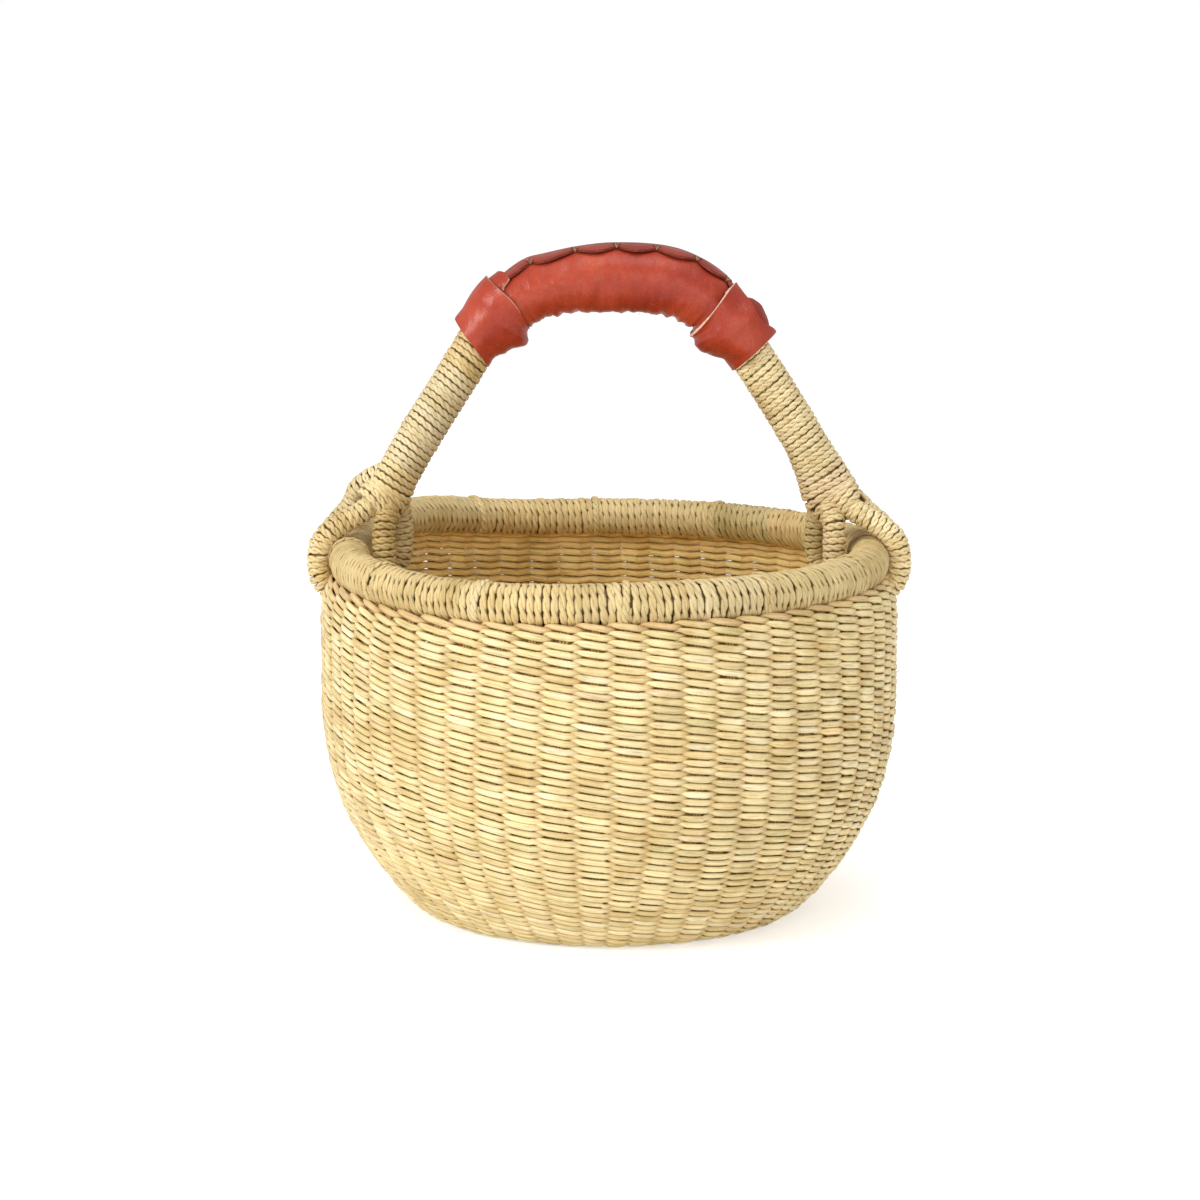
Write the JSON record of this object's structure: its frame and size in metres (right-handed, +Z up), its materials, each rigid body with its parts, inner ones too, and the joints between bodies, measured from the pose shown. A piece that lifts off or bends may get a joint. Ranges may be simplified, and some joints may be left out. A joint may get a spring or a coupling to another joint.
{
  "type": "bolga basket",
  "caption": "Small round straw basket with an open bowl, a bound rim and an arched handle with a laced leather grip, which rocks on eyes round the rim.",
  "frame": {"origin": "centre of the bowl's flat underside, on the surface that the basket stands on", "axes": "+Z up, +X along the handle's span to its right foot, -Y to the front"},
  "size_m": [0.2644, 0.2526, 0.2925],
  "materials": {
    "weave": "twined natural grass straw, satin",
    "core": "bundled grass straw, dull",
    "binding": "twisted grass straw, satin",
    "leather": "soft red-brown leather, semi-gloss",
    "thong": "thin leather thong, dull"
  },
  "bodies": {
    "basket": {"base_mat": "weave", "base_weave": "weave", "side_weave": "weave", "rim_core": "core", "rim_binding_01": "binding", "rim_binding_02": "binding", "rim_binding_03": "binding", "rim_binding_04": "binding", "rim_binding_05": "binding", "rim_binding_06": "binding", "rim_binding_07": "binding", "rim_binding_08": "binding", "rim_binding_09": "binding", "rim_binding_10": "binding", "rim_binding_11": "binding", "rim_binding_12": "binding"},
    "handle": {"handle_bundle_front": "core", "handle_bundle_rear": "core", "eye_binding_left_front": "binding", "eye_binding_right_front": "binding", "eye_binding_left_rear": "binding", "eye_binding_right_rear": "binding", "leg_binding_left": "binding", "leg_binding_right": "binding", "grip_padding": "core", "grip_leather": "leather", "grip_cuff_left": "leather", "grip_cuff_right": "leather", "grip_lacing": "thong"}
  },
  "joints": [
    {"name": "handle_swing", "type": "hinge", "parent": "basket", "child": "handle", "pos_m": [0, 0.006, 0.1387], "axis": [1, 0, 0], "range_deg": [-12, 12]}
  ]
}
